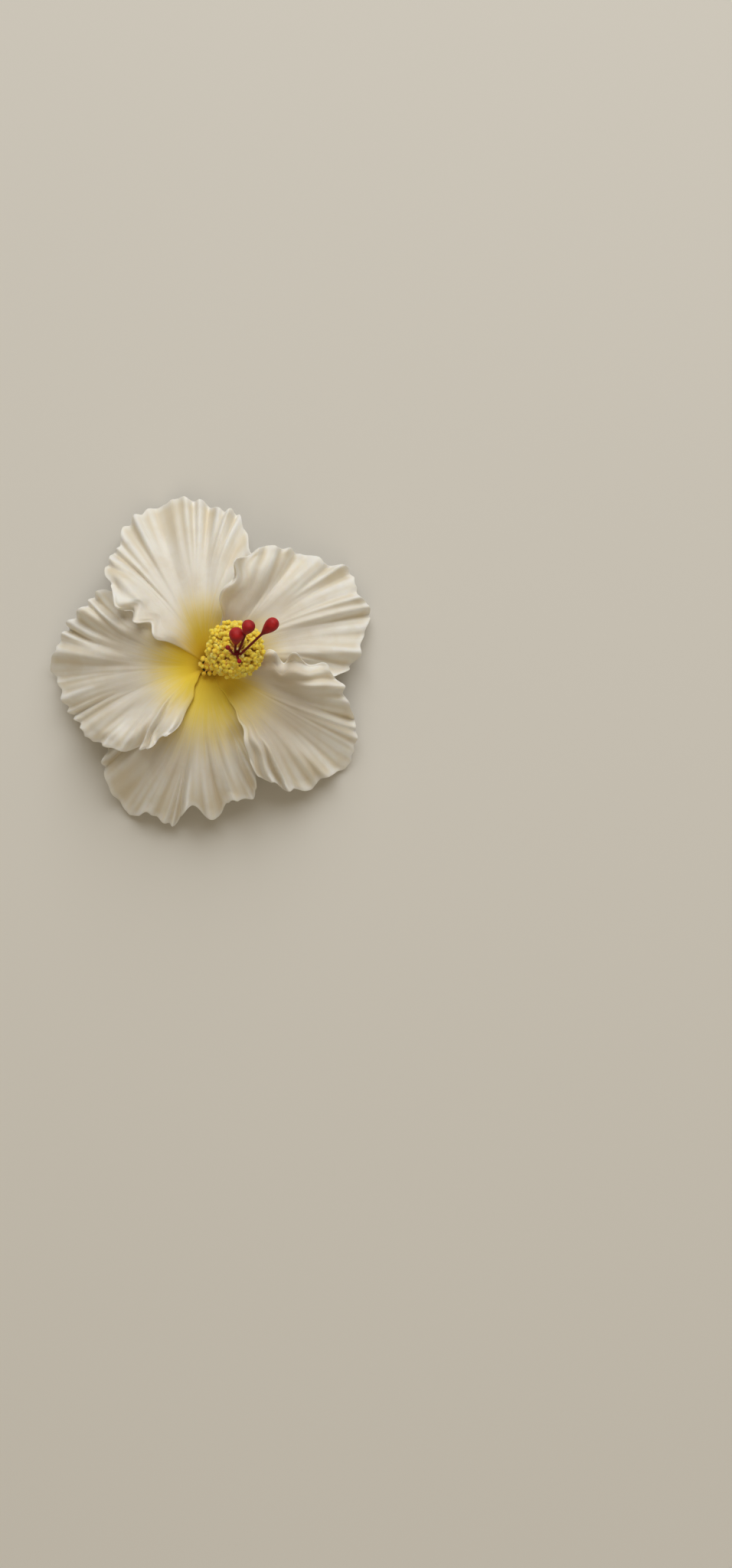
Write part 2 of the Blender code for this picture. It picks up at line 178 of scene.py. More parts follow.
# The stamens below the dome, close round the column.
LOW_STAMENS = 48
LOW_STAMENS_FOOT = 0.09
LOW_STAMEN_REACH = (1.0 * MM, 2.4 * MM)
LOW_STAMEN_RISE = 1.0 * MM

# A filament's points: share of the way to the anther, share of its radius and share of its sag.
FILAMENT_PROFILE = [(0, 1.25, 0), (0.35, 1, 1), (0.7, 0.9, 0.8), (1, 0.8, 0)]
FILAMENT_RADIUS = 0.24 * MM
FILAMENT_ROOT = 0.9
FILAMENT_SAGS = (-0.5 * MM, 0.9 * MM)
FILAMENT_STEPS = 3
FILAMENT_SIDES = 6

ANTHER_RADIUS = 0.79 * MM
ANTHER_SIZES = (0.8, 1.08)
ANTHER_ROWS = 9
ANTHER_COLUMNS = 14
ANTHER_STRETCH = 0.16
ANTHER_TIP = 0.72
GROOVE_DEPTH = 0.3
GROOVE_WIDTH = 0.24
LUMP_HEIGHT = 0.05
LUMPS_AROUND = 5
LUMPS_ALONG = 3
LUMP_PHASES = 6

# Name, middle of the pad, its fullest radius and its length, in millimetres.
STYLE_BRANCHES = [
    ("style_branch_right", (23.2, 9.7, 48.0), 2.2, 8.0),
    ("style_branch_middle", (16.4, 9.1, 50.3), 2.2, 6.2),
    ("style_branch_left", (12.4, 6.5, 46.8), 2.5, 7.2),
    ("style_branch_short_left", (9.6, 3.2, 45.6), 0.75, 2.0),
    ("style_branch_short_lower", (13.2, -1.0, 44.6), 0.7, 1.8),
]
BRANCH_RADIUS = 0.42 * MM
BRANCH_SIDES = 32
BRANCH_RING = 1.15 * MM
BRANCH_RING_START = math.radians(-15)
# How far up the style's end a branch starts, and the points on its way to the pad.
BRANCH_ROOT = 0.6
BRANCH_SHARES = (0.35, 0.75)
PAD_STEPS = 28
PAD_TAPER = 1.2
PAD_ROUNDING = 0.5
PAD_TIP = 0.1
# Where along the pad the branch's own thickness fades into it, and where its red sets in.
PAD_FADE = (0.5, 0.95)
PAD_RED = (0.02, 0.4)

OVARY_ROWS = 24
OVARY_COLUMNS = 60
OVARY_CELLS = 5
OVARY_GROOVE = 0.07
OVARY_GROOVE_SHARPNESS = 6

# Profile and route points are radius and height, in millimetres.
CALYX_PROFILE = [
    (0, 5.2), (2.4, 5.5), (4.4, 6.6), (5.6, 8.6), (6.5, 10.8), (8.1, 13.0), (10.7, 14.8), (13.8, 15.9),
]
CALYX_ROWS = 40
CALYX_COLUMNS = 160
CALYX_STEPS = 6
CALYX_THICKNESS = 0.6
CALYX_START = 0.35
CALYX_LOBES = 5
CALYX_LOBE_POINT = 1.2
CALYX_CLEFT = 3
CALYX_RIB = 0.12
CALYX_RIBS_A_LOBE = 3
CALYX_RIB_ROWS = (0.1, 0.5)

BRACTLET_COUNT = 7
BRACTLET_ROUTE = [(1.4, 4.85), (2.5, 4.7), (4.6, 4.9), (7.0, 6.2), (9.4, 8.4), (11.4, 11.0)]
BRACTLET_HALF_WIDTHS = [0.5, 0.75, 0.95, 0.95, 0.7, 0.18]
BRACTLET_STEPS = 6
BRACTLET_COLUMNS = 9
BRACTLET_KEEL = 0.22 * MM
BRACTLET_THICKNESS = 0.5 * MM

PEDICEL_ROUTE = [
    (0, 0, 5.3), (0.1, -0.4, 3.6), (0.5, -1.5, 2.4), (1.5, -3.8, 1.75), (3.2, -7.2, 1.6), (5.2, -11.2, 1.5),
]
PEDICEL_RADII = [1.9, 1.3, 1.2, 1.15, 1.1, 1.15]
PEDICEL_STEPS = 6
PEDICEL_SIDES = 20

# The camera looks straight down from the bloom's lower right, so the bloom lies up and left in its view.
# The view's long side covers VIEW_LENGTH at VIEW_LEVEL over the surface.
CAMERA_FROM_THROAT = Vector((55.2 * MM, -41.8 * MM, 0))
CAMERA_HEIGHT = 565 * MM
VIEW_LENGTH = 549 * MM
VIEW_LEVEL = 15 * MM
SENSOR = 36

FLOOR_HALF = 3.0
# Lamps: place, size, power and colour.
LAMPS = {
    "key": (Vector((0.3, 1.5, 1.5)), 2.4, 38, (0.97, 0.985, 1.0)),
    "bounce": (Vector((0.0, -1.2, 1.6)), 1.6, 4.5, (1.0, 0.88, 0.7)),
}
FILL_COLOUR = (1.0, 0.85, 0.62, 1)
FILL_STRENGTH = 0.22

CREAM = (0.90, 0.88, 0.82, 1)
# A lighter cream painted along the margins as a highlight.
CREAM_PAINTED_HIGHLIGHT = (0.93, 0.91, 0.85, 1)
# Tan for the blotches and veins; down in the pleats' valleys the same colour is painted shade.
CREAM_TAN_AND_PAINTED_SHADE = (0.72, 0.62, 0.45, 1)
# Painted shade over each petal's inner part.
CREAM_PAINTED_SHADE = (0.59, 0.51, 0.38, 1)
THROAT_YELLOW = (0.84, 0.64, 0.05, 1)
THROAT_DEEP = (0.76, 0.54, 0.03, 1)
POLLEN_DEEP = (1.0, 0.70, 0.035, 1)
POLLEN = (1.0, 0.84, 0.12, 1)
POLLEN_LEMON = (1.0, 0.93, 0.36, 1)
POLLEN_ORANGE = (1.0, 0.58, 0.05, 1)
POLLEN_DUST = (1.0, 0.84, 0.3, 1)
FILAMENT_ORANGE = (1.0, 0.58, 0.16, 1)
COLUMN_ORANGE = (0.90, 0.60, 0.12, 1)
COLUMN_YELLOW = (0.93, 0.80, 0.32, 1)
STIGMA_DEEP = (0.27, 0.004, 0.006, 1)
STIGMA_RED = (0.50, 0.010, 0.010, 1)
STIGMA_VELVET = (0.60, 0.03, 0.02, 1)
STIGMA_SHEEN = (0.9, 0.3, 0.3, 1)
BRANCH_MAROON = (0.17, 0.006, 0.006, 1)
FLOOR_TONES = ((0.735, 0.71, 0.65, 1), (0.76, 0.735, 0.675, 1))
# Green materials: a darker and a lighter green, and the ribs across the piece.
GREENS = {
    "ovary_skin": ((0.42, 0.50, 0.17, 1), (0.62, 0.66, 0.30, 1), 12),
    "calyx_leaf": ((0.10, 0.20, 0.035, 1), (0.24, 0.36, 0.09, 1), 26),
    "bractlet_leaf": ((0.07, 0.15, 0.025, 1), (0.19, 0.30, 0.07, 1), 7),
    "stalk_skin": ((0.11, 0.19, 0.04, 1), (0.27, 0.35, 0.11, 1), 14),
}


def throat_foot():
    """The point of the surface under the throat, in whose middle the ovary stands."""
    low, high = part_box("ovary")
    return Vector(((low.x + high.x) / 2, (low.y + high.y) / 2, 0))


THROAT = throat_foot()


@dataclass
class Petal:
    """One petal's shape and tints, in degrees and millimetres. cw is its clockwise side."""

    name: str
    # Its midline's direction, anticlockwise from +X.
    angle: float
    # Far margin: degrees from the midline, positive anticlockwise, and distance from the throat.
    margin: list
    # Side edges: distance from the throat and degrees from the midline.
    edge_cw: list
    edge_ccw: list
    # How far its rim comes down, and how far its sides rise: both alike, then each.
    droop: float
    cup: float
    lift_cw: float
    lift_ccw: float
    # Radians that shift its pleats and ruffles.
    phase: float
    # Radius of the yellow throat, how much it shrinks towards the ccw side, and share of painted shade on
    # its inner part.
    yellow: float
    yellow_lean: float
    warmth: float
    # Height of each side margin's frill, and the length of its wave.
    frill_cw: float
    frill_ccw: float
    frill_length: float
    # Degrees from the midline, distance from the throat, height and half width.
    bumps: list = field(default_factory=list)


PETALS = [
    Petal(
        "petal_bottom", angle=262,
        margin=[
            (-44, 42), (-42, 47), (-38, 52), (-28, 58), (-20, 60), (-15, 56), (-6, 58),
            (1, 50), (9, 54), (17, 48), (26, 49), (34, 40), (42, 34),
        ],
        edge_cw=[(3.4, 31), (9, 33), (20, 37), (34, 40)],
        edge_ccw=[(3.4, 29), (9, 34), (14, 41), (30, 42)],
        droop=17.6, cup=0.4, lift_cw=-0.5, lift_ccw=-0.5, phase=0.4,
        yellow=35, yellow_lean=0.0, warmth=0.48,
        frill_cw=0.3, frill_ccw=0.3, frill_length=10,
        bumps=[(35, 28, -2.2, 4.0)],
    ),
    Petal(
        "petal_left", angle=192,
        margin=[
            (-54, 37), (-44, 46), (-38, 47), (-27, 52), (-19, 54), (-12, 57), (-5, 54),
            (2, 53), (17, 49), (31, 44), (41, 37), (53, 28),
        ],
        edge_cw=[(3.4, 40), (9, 43), (20, 47)],
        edge_ccw=[(3.4, 31), (8, 46), (13, 56), (21, 57)],
        droop=20.1, cup=3.4, lift_cw=3.2, lift_ccw=1.2, phase=1.9,
        yellow=25, yellow_lean=0.0, warmth=0.42,
        frill_cw=0.8, frill_ccw=1.6, frill_length=12,
    ),
    Petal(
        "petal_top", angle=105,
        margin=[
            (-44, 33), (-37, 41), (-29, 50), (-25, 55), (-19, 55), (-10, 59), (-3, 61),
            (7, 60), (16, 58), (23, 52), (31, 48), (37, 41), (43, 33),
        ],
        edge_cw=[(3.4, 33), (9, 36), (20, 42)],
        edge_ccw=[(3.4, 40), (10, 43), (17, 47), (26, 42)],
        droop=17.0, cup=1.0, lift_cw=-0.5, lift_ccw=1.4, phase=3.1,
        yellow=27, yellow_lean=0.9, warmth=0.28,
        frill_cw=0.5, frill_ccw=3.8, frill_length=9.5,
        bumps=[(42, 15, 2.0, 3.5)],
    ),
    Petal(
        "petal_upper_right", angle=32,
        margin=[
            (-44, 37), (-40, 42), (-33, 49), (-28, 53), (-20, 56), (-12, 60), (-6, 58),
            (3, 60), (11, 54), (20, 50), (30, 46), (35, 42), (41, 30),
        ],
        edge_cw=[(3.4, 29), (9, 33), (20, 40)],
        edge_ccw=[(3.4, 33), (9, 36), (17, 38), (24, 41)],
        droop=18.2, cup=1.0, lift_cw=-0.5, lift_ccw=2.0, phase=4.6,
        yellow=29, yellow_lean=0.8, warmth=0.5,
        frill_cw=0.3, frill_ccw=2.8, frill_length=14,
        bumps=[(40, 27, 1.6, 3.5)],
    ),
    Petal(
        "petal_lower_right", angle=-33,
        margin=[
            (-33, 38), (-32, 43), (-28, 47), (-25, 52), (-17, 56), (-10, 57), (-4, 60),
            (5, 58), (12, 55), (17, 51), (23, 48), (30, 42), (36, 32),
        ],
        edge_cw=[(3.4, 29), (9, 28), (13, 25), (31, 27)],
        edge_ccw=[(3.4, 29), (9, 34), (14, 40), (22, 40), (28, 33)],
        droop=18.2, cup=0.6, lift_cw=0.6, lift_ccw=3.4, phase=5.7,
        yellow=31, yellow_lean=1.1, warmth=0.78,
        frill_cw=0.8, frill_ccw=3.3, frill_length=9.5,
    ),
]


# ---- materials


class Nodes:
    """A material's node tree, with short calls that add and link nodes."""

    def __init__(self, name):
        self.material = bpy.data.materials.new(name)
        self.material.use_nodes = True
        self.tree = self.material.node_tree
        self.shader = self.tree.nodes["Principled BSDF"]

    def put(self, socket, value):
        if isinstance(value, bpy.types.NodeSocket):
            self.tree.links.new(value, socket)
        else:
            socket.default_value = value

    def add(self, kind, settings=None, **inputs):
        node = self.tree.nodes.new(kind)
        for key, value in (settings or {}).items():
            setattr(node, key, value)
        for key, value in inputs.items():
            self.put(node.inputs[key.replace("_", " ")], value)
        return node

    def attribute(self, name):
        return self.add("ShaderNodeAttribute", {"attribute_name": name}).outputs["Fac"]

    def math(self, operation, first, second=0.0):
        node = self.add("ShaderNodeMath", {"operation": operation})
        self.put(node.inputs[0], first)
        self.put(node.inputs[1], second)
        return node.outputs[0]

    def ramp(self, value, start, end, low=0.0, high=1.0):
        node = self.add("ShaderNodeMapRange", {"interpolation_type": "SMOOTHSTEP", "clamp": True})
        for socket, given in zip(node.inputs, (value, start, end, low, high)):
            self.put(socket, given)
        return node.outputs[0]

    def mix(self, share, first, second, blend="MIX"):
        node = self.add("ShaderNodeMix", {"data_type": "RGBA", "blend_type": blend})
        self.put(node.inputs[0], share)
        self.put(node.inputs[6], first)
        self.put(node.inputs[7], second)
        return node.outputs[2]

    def noise(self, vector, scale, detail=3.0, roughness=0.55, stretch=(1, 1, 1)):
        mapping = self.add("ShaderNodeMapping", Vector=vector, Scale=stretch)
        node = self.add("ShaderNodeTexNoise", Vector=mapping.outputs[0], Scale=scale, Detail=detail,
                        Roughness=roughness)
        return node.outputs["Fac"]

    def coordinates(self, which):
        return self.add("ShaderNodeTexCoord").outputs[which]

    def bump(self, height, strength, distance, normal=None):
        node = self.add("ShaderNodeBump", Height=height, Strength=strength, Distance=distance)
        if normal is not None:
            self.put(node.inputs["Normal"], normal)
        return node.outputs["Normal"]

    def set(self, **inputs):
        for key, value in inputs.items():
            self.put(self.shader.inputs[key.replace("_", " ")], value)


def petal_material():
    """Cream tissue, yellow towards the throat, with veins and tan blotches, painted shade in the pleats'
    valleys and over the inner petal, a painted highlight along the rims and a fine grain.
    """
    made = Nodes("petal_tissue")
    uv = made.coordinates("UV")
    place = made.coordinates("Object")
    streaks = made.noise(uv, scale=1.0, detail=4.0, roughness=0.6, stretch=(46, 2.2, 1))
    throat = made.math("ADD", made.attribute("throat"), made.ramp(streaks, 0.3, 0.7, low=-0.06, high=0.06))
    # Painted shade: the cream turns darker and warmer down in the pleats' valleys.
    cream = made.mix(made.ramp(made.attribute("valley"), 0.05, 0.75, high=0.72), CREAM, CREAM_TAN_AND_PAINTED_SHADE)
    blotches = made.noise(place, scale=120, detail=4.0)
    cream = made.mix(made.ramp(blotches, 0.42, 0.7, high=0.34), cream, CREAM_TAN_AND_PAINTED_SHADE)
    # Painted shade over the inner part of each petal, strongest on the lower right one.
    cream = made.mix(made.attribute("warmth"), cream, CREAM_PAINTED_SHADE)
    # Painted highlight: a lighter cream along the rims.
    cream = made.mix(made.math("MULTIPLY", made.attribute("rim"), 0.7), cream, CREAM_PAINTED_HIGHLIGHT)
    yellow = made.mix(made.ramp(throat, 0.0, 0.35), THROAT_DEEP, THROAT_YELLOW)
    colour = made.mix(made.ramp(throat, 0.34, 1.08), yellow, cream)
    veins = made.noise(uv, scale=1.0, detail=2.0, roughness=0.5, stretch=(120, 3.0, 1))
    colour = made.mix(made.ramp(veins, 0.54, 0.74, high=0.10), colour, CREAM_TAN_AND_PAINTED_SHADE, "MULTIPLY")
    grain = made.noise(place, scale=2600, detail=3.0)
    normal = made.bump(veins, strength=0.22, distance=0.25 * MM)
    normal = made.bump(grain, strength=0.25, distance=0.06 * MM, normal=normal)
    made.set(Base_Color=colour, Normal=normal, Roughness=made.ramp(grain, 0.3, 0.7, low=0.5, high=0.66))
    made.set(Subsurface_Weight=0.2, Subsurface_Radius=(1.0, 0.75, 0.4), Subsurface_Scale=1.2 * MM)
    made.set(Sheen_Weight=0.12, Sheen_Roughness=0.5, Specular_IOR_Level=0.35)
    return made.material


def anther_material():
    """Anthers dusted with pollen in lemon to orange tones, on orange filaments."""
    made = Nodes("anther_pollen")
    place = made.coordinates("Object")
    lumps = made.noise(place, scale=900, detail=3.0)
    tones = made.noise(place, scale=430, detail=2.0)
    pollen = made.mix(made.ramp(lumps, 0.35, 0.7), POLLEN_DEEP, POLLEN)
    pollen = made.mix(made.ramp(tones, 0.52, 0.7, high=0.75), pollen, POLLEN_LEMON)
    pollen = made.mix(made.ramp(tones, 0.48, 0.3, high=0.45), pollen, POLLEN_ORANGE)
    colour = made.mix(made.attribute("filament"), pollen, FILAMENT_ORANGE)
    grain = made.noise(place, scale=2600, detail=2.0)
    made.set(Base_Color=colour, Normal=made.bump(grain, strength=0.5, distance=0.12 * MM))
    made.set(Roughness=made.ramp(lumps, 0.3, 0.7, low=0.5, high=0.75), Specular_IOR_Level=0.3)
    made.set(Subsurface_Weight=0.25, Subsurface_Radius=(1.0, 0.7, 0.2), Subsurface_Scale=1.0 * MM)
    made.set(Sheen_Weight=0.7, Sheen_Roughness=0.6, Sheen_Tint=POLLEN_DUST)
    return made.material


def column_material():
    """Yellow tissue with orange streaks along the column."""
    made = Nodes("column_tissue")
    place = made.coordinates("Object")
    streaks = made.noise(place, scale=260, detail=3.0, stretch=(1, 1, 0.12))
    colour = made.mix(made.ramp(streaks, 0.35, 0.7), COLUMN_ORANGE, COLUMN_YELLOW)
    normal = made.bump(streaks, strength=0.3, distance=0.2 * MM)
    made.set(Base_Color=colour, Normal=normal, Specular_IOR_Level=0.4)
    made.set(Roughness=made.ramp(streaks, 0.3, 0.7, low=0.42, high=0.58))
    return made.material


def stigma_material():
    """Deep red and velvety on the pads, darker on the branches."""
    made = Nodes("stigma_velvet")
    place = made.coordinates("Object")
    velvet = made.noise(place, scale=2200, detail=3.0)
    tones = made.noise(place, scale=300, detail=2.0)
    colour = made.mix(made.ramp(tones, 0.3, 0.7), STIGMA_DEEP, STIGMA_RED)
    colour = made.mix(made.ramp(velvet, 0.5, 0.8, high=0.4), colour, STIGMA_VELVET)
    colour = made.mix(made.attribute("pad"), BRANCH_MAROON, colour)
    normal = made.bump(velvet, strength=0.45, distance=0.1 * MM)
    made.set(Base_Color=colour, Normal=normal, Specular_IOR_Level=0.35)
    made.set(Roughness=made.ramp(velvet, 0.3, 0.7, low=0.45, high=0.7))
    made.set(Sheen_Weight=0.15, Sheen_Roughness=0.4, Sheen_Tint=STIGMA_SHEEN)
    return made.material


def green_material(name):
    """Leaf tissue: ribs along the piece, blotches and a fine grain."""
    dark, light, ribs = GREENS[name]
    made = Nodes(name)
    uv = made.coordinates("UV")
    place = made.coordinates("Object")
    rib = made.noise(uv, scale=1.0, detail=2.0, roughness=0.5, stretch=(ribs, 1.5, 1))
    blotch = made.noise(place, scale=420, detail=4.0, roughness=0.65)
    colour = made.mix(made.ramp(blotch, 0.2, 0.85), dark, light)
    colour = made.mix(made.ramp(rib, 0.5, 0.75, high=0.6), colour, light)
    grain = made.noise(place, scale=3000, detail=2.0)
    normal = made.bump(rib, strength=0.5, distance=0.25 * MM)
    normal = made.bump(grain, strength=0.2, distance=0.05 * MM, normal=normal)
    made.set(Base_Color=colour, Normal=normal, Roughness=made.ramp(grain, 0.3, 0.7, low=0.45, high=0.62))
    made.set(Subsurface_Weight=0.1, Subsurface_Radius=(0.5, 1.0, 0.3), Subsurface_Scale=0.6 * MM)
    return made.material


def floor_material():
    """Plain pale paper with a faint variation."""
    made = Nodes("studio_floor")
    tones = made.noise(made.coordinates("Object"), scale=3.0, detail=2.0)
    made.set(Base_Color=made.mix(tones, *FLOOR_TONES), Roughness=0.8)
    return made.material


# ---- geometry helpers


def eased(points, at):
    """Values that pass through the points, level at each of them."""
    places = np.array([place for place, _ in points], float)
    values = np.array([value for _, value in points], float)
    at = np.clip(at, places[0], places[-1])
    left = np.clip(np.searchsorted(places, at, side="right") - 1, 0, len(places) - 2)
    share = (at - places[left]) / (places[left + 1] - places[left])
    return values[left] + (values[left + 1] - values[left]) * share**2 * (3 - 2 * share)


def ramp(value, start, end):
    """0 before start, 1 after end and smooth between them."""
    share = np.clip((value - start) / (end - start), 0, 1)
    return share**2 * (3 - 2 * share)


def grid_faces(rows, columns, around=False, start=0):
    """Quads between neighbouring rows of points, joined round if the rows close."""
    index = start + np.arange(rows * columns).reshape(rows, columns)
    after = np.roll(index, -1, axis=1) if around else index[:, 1:]
    here = index if around else index[:, :-1]
    quads = np.stack([here[:-1], after[:-1], after[1:], here[1:]], axis=-1)
    return quads.reshape(-1, 4).tolist()


def capped_faces(rows, columns, start=0):
    """Faces of a grid joined round, with a fan at each end to the two points after the grid's."""
    faces = grid_faces(rows, columns, around=True, start=start)
    first = start + rows * columns
    top = first - columns
    for column in range(columns):
        after = (column + 1) % columns
        faces.append([first, start + after, start + column])
        faces.append([first + 1, top + column, top + after])
    return faces


def unit(vectors):
    return vectors / np.maximum(np.linalg.norm(vectors, axis=-1, keepdims=True), TINY)


def grid_normals(points):
    """Unit normals of a grid of points, on the side that its faces look to."""
    return unit(np.cross(np.gradient(points, axis=1), np.gradient(points, axis=0)))


def add_object(name, data):
    """A new object in the scene that holds the data."""
    obj = bpy.data.objects.new(name, data)
    bpy.context.scene.collection.objects.link(obj)
    return obj


def mesh_object(name, points, faces, paint, slot, uv=None, values=None):
    """A smooth mesh piece that rides on the root, with its UVs and its named values per point."""
    mesh = bpy.data.meshes.new(name)
    mesh.from_pydata(np.asarray(points).tolist(), [], faces)
    mesh.shade_smooth()
    mesh.materials.append(paint)
    if uv is not None:
        corners = np.empty(len(mesh.loops), np.int32)
        mesh.loops.foreach_get("vertex_index", corners)
        layer = mesh.uv_layers.new(name="UVMap")
        layer.data.foreach_set("uv", np.asarray(uv, np.float32)[corners].ravel())
    for key, numbers in (values or {}).items():
        stored = mesh.attributes.new(key, "FLOAT", "POINT")
        stored.data.foreach_set("value", np.asarray(numbers, np.float32).ravel())
    piece = add_object(name, mesh)
    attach(piece, "root")
    return piece


def fine_piece(node, *looks, **more_looks):
    """The finer piece that replaces a CAD node. Its looks are what mesh_object takes."""
    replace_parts(mesh_object(node + "_fine", *looks, **more_looks), node)


def boundary(rows, columns):
    """Indices round the edge of a grid, anticlockwise seen from the side of its normals."""
    index = np.arange(rows * columns).reshape(rows, columns)
    return np.concatenate([index[0, :-1], index[:-1, -1], index[-1, :0:-1], index[:0:-1, 0]])


def neighbours(grid):
    """The grid and its four neighbours, stacked."""
    padded = np.pad(grid, 1, mode="edge")
    sides = [padded[:-2, 1:-1], padded[2:, 1:-1], padded[1:-1, :-2], padded[1:-1, 2:]]
    return np.stack([grid, *sides])


def blurred(points, passes):
    """The grid of points with its folds smoothed out."""
    for _ in range(passes):
        points = np.stack([neighbours(points[..., axis]).mean(axis=0) for axis in range(3)], axis=-1)
    return points


def sheet(points, thickness, blur=0):
    """A closed sheet from the grid of its upper face, with a rounded rim.

    The lower face lies off the upper one along smoothed normals, so it doesn't cross itself in a fold.
    Returns its points, its faces and, for each point, the index of the grid point that it came from.
    """
    rows, columns = points.shape[:2]
    normals = grid_normals(blurred(points, blur))
    lower = points - normals * thickness[..., None]
    edge = boundary(rows, columns)
    top = points.reshape(-1, 3)[edge]
    under = lower.reshape(-1, 3)[edge]
    along = np.roll(top, -1, axis=0) - np.roll(top, 1, axis=0)
    outward = unit(np.cross(along, normals.reshape(-1, 3)[edge]))
    middle = (top + under) / 2
    half = (top - under) / 2
    reach = np.linalg.norm(half, axis=1, keepdims=True)
    count = rows * columns
    all_points = [points.reshape(-1, 3), lower.reshape(-1, 3)]
    source = [np.arange(count), np.arange(count)]
    rings = [edge]
    for step in range(1, RIM_STEPS):
        turn = math.pi * step / RIM_STEPS
        all_points.append(middle + half * math.cos(turn) + outward * reach * math.sin(turn))
        source.append(edge)
        rings.append(2 * count + (step - 1) * len(edge) + np.arange(len(edge)))
    rings.append(edge + count)
    faces = grid_faces(rows, columns)
    faces += [face[::-1] for face in grid_faces(rows, columns, start=count)]
    for inner, outer in zip(rings, rings[1:]):
        quads = np.stack([inner, outer, np.roll(outer, -1), np.roll(inner, -1)], axis=-1)
        faces += quads.tolist()
    return np.concatenate(all_points), faces, np.concatenate(source)


# ---- petals


def swing(petal, outer, size, degrees, phases):
    """A slow sine across the petal, which keeps a value uneven."""
    return size * np.sin(outer / degrees + phases * petal.phase)


def far_margin(petal, outer):
    """Distance from the throat to the petal's far margin, with its scallops and small tips."""
    unevenness = SCALLOP_STRENGTH + swing(petal, outer, *SCALLOP_SWING)
    scallops = SCALLOP_DEPTH * unevenness * (pleat_wave(petal, outer, SCALLOP_DEGREES) - SCALLOP_LEVEL)
    wave = math.pi * (outer + np.sin(outer / TIP_WANDER_DEGREES)) / TIP_DEGREES + petal.phase
    tips = TIP_DEPTH * (TIP_STRENGTH - unevenness) * np.abs(np.sin(wave)) ** TIP_SHARPNESS
    return eased(petal.margin, outer) * MM + scallops + tips


def petal_places(petal, across, reach):
    """Over the petal's grid: degrees from the midline, distance from the throat, degrees at the margin."""
    half = np.where(across < 0, -petal.margin[0][0], petal.margin[-1][0])
    outer = across * half
    radius = CLAW_RADIUS + (far_margin(petal, outer) - CLAW_RADIUS) * reach
    fan = half * (1 - (1 - CLAW_SPREAD) * (1 - reach) ** FAN_POWER)
    side_edges = [eased(edge, radius / MM) for edge in (petal.edge_cw, petal.edge_ccw)]
    edge = np.where(across < 0, *side_edges)
    edge = edge + (half - edge) * ramp(reach, MARGIN_EASE_FROM, 1)
    degrees = across * (fan + (edge - fan) * np.abs(across) ** EDGE_SHARPNESS)
    scallop = side_frill(petal, across, radius) * np.sin(frill_phase(petal, radius))
    degrees = degrees + np.sign(across) * np.degrees(FRILL_SCALLOP * scallop / radius)
    return degrees, radius, outer


def frill_phase(petal, radius):
    """The phase of the side margins' frill, whose waves shorten and lengthen along the margin."""
    turns = radius / (petal.frill_length * MM)
    return 2 * math.pi * (turns + FRILL_UNEVENNESS * np.sin(FRILL_UNEVEN_RATE * turns)) + petal.phase


def side_frill(petal, across, radius):
    """How strongly the side margins are frilled, in metres: nothing in the middle or near the claw."""
    side = np.where(across < 0, petal.frill_cw, petal.frill_ccw) * MM
    return side * ramp(np.abs(across), FRILL_FROM, 1) * ramp(radius, *FRILL_RADII)


def pleat_wave(petal, outer, spacing):
    """Rounded ridges with narrower valleys, unevenly spaced: 0 in a valley and 1 on a ridge."""
    wander = sum(swing(petal, outer, *sway) for sway in PLEAT_WANDERS)
    ridge = np.sin(math.pi * (outer + spacing * wander) / spacing + petal.phase)
    lowest = math.sqrt(VALLEY_ROUNDING)
    highest = math.sqrt(1 + VALLEY_ROUNDING)
    return (np.sqrt(ridge**2 + VALLEY_ROUNDING) - lowest) / (highest - lowest)


def pleats(petal, outer, reach):
    """The height of all the pleats together, and how deep in their valleys each point is, from 0 to 1."""
    bent = outer + (1 - reach) * swing(petal, outer, *PLEAT_BEND)
    height = np.zeros_like(outer)
    depth = np.zeros_like(outer)
    for spacing, full_height, start, full, sway in PLEATS:
        wave = pleat_wave(petal, bent, spacing)
        strength = PLEAT_STRENGTH + swing(petal, outer, *sway)
        grown = ramp(reach, start + swing(petal, outer, *PLEAT_START_SWING), full)
        height = height + full_height * strength * wave * grown
        # How deep a point lies in the valleys, which the material darkens as painted shade.
        depth = depth + (1 - wave) * grown / len(PLEATS)
    lip = LIP_HEIGHT * ramp(reach, LIP_FROM, 1) * pleat_wave(petal, outer, SCALLOP_DEGREES)
    return height + lip, depth


def bump_heights(petal, degrees, radius):
    """The bumps and dents that only this petal has."""
    x = radius * np.cos(np.radians(degrees)) / MM
    y = radius * np.sin(np.radians(degrees)) / MM
    heights = np.zeros_like(radius)
    for turn, distance, rise, half_width in petal.bumps:
        middle_x = distance * math.cos(math.radians(turn))
        middle_y = distance * math.sin(math.radians(turn))
        from_middle = np.hypot(x - middle_x, y - middle_y)
        heights = heights + rise * MM * np.exp(-((from_middle / half_width) ** 2))
    return heights


def petal_heights(petal, across, reach, degrees, radius):
    """Heights of the petal's face: a funnel at the claw, a crest, then a ruffled droop."""
    funnel = CLAW_HEIGHT + FUNNEL_RISE * (1 - np.exp((CLAW_RADIUS - radius) / FUNNEL_LENGTH))
    past_crest = np.clip((radius - CREST_RADIUS) / (RIM_RADIUS - CREST_RADIUS), 0, None)
    droop = petal.droop * MM * past_crest**DROOP_POWER
    side = np.where(across < 0, petal.lift_cw, petal.lift_ccw) * ramp(np.abs(across), LIFT_FROM, 1)
    lift = side * MM * ramp(radius, *LIFT_RADII)
    cup = petal.cup * MM * across**2 * ramp(radius, *CUP_RADII)
    wave = 2 * math.pi * degrees / RUFFLE_DEGREES + petal.phase
    second_wave = SECOND_RUFFLE_SHARE * np.sin(SECOND_RUFFLE_RATE * wave + petal.phase)
    ruffle = RUFFLE_HEIGHT * (np.sin(wave) + second_wave) * ramp(reach, RUFFLE_FROM, 1)
    frill_wave = FRILL_LEVEL + FRILL_SWING * np.sin(frill_phase(petal, radius))
    frill = frill_wave * side_frill(petal, across, radius)
    return funnel - droop + lift + cup + ruffle + frill + bump_heights(petal, degrees, radius)


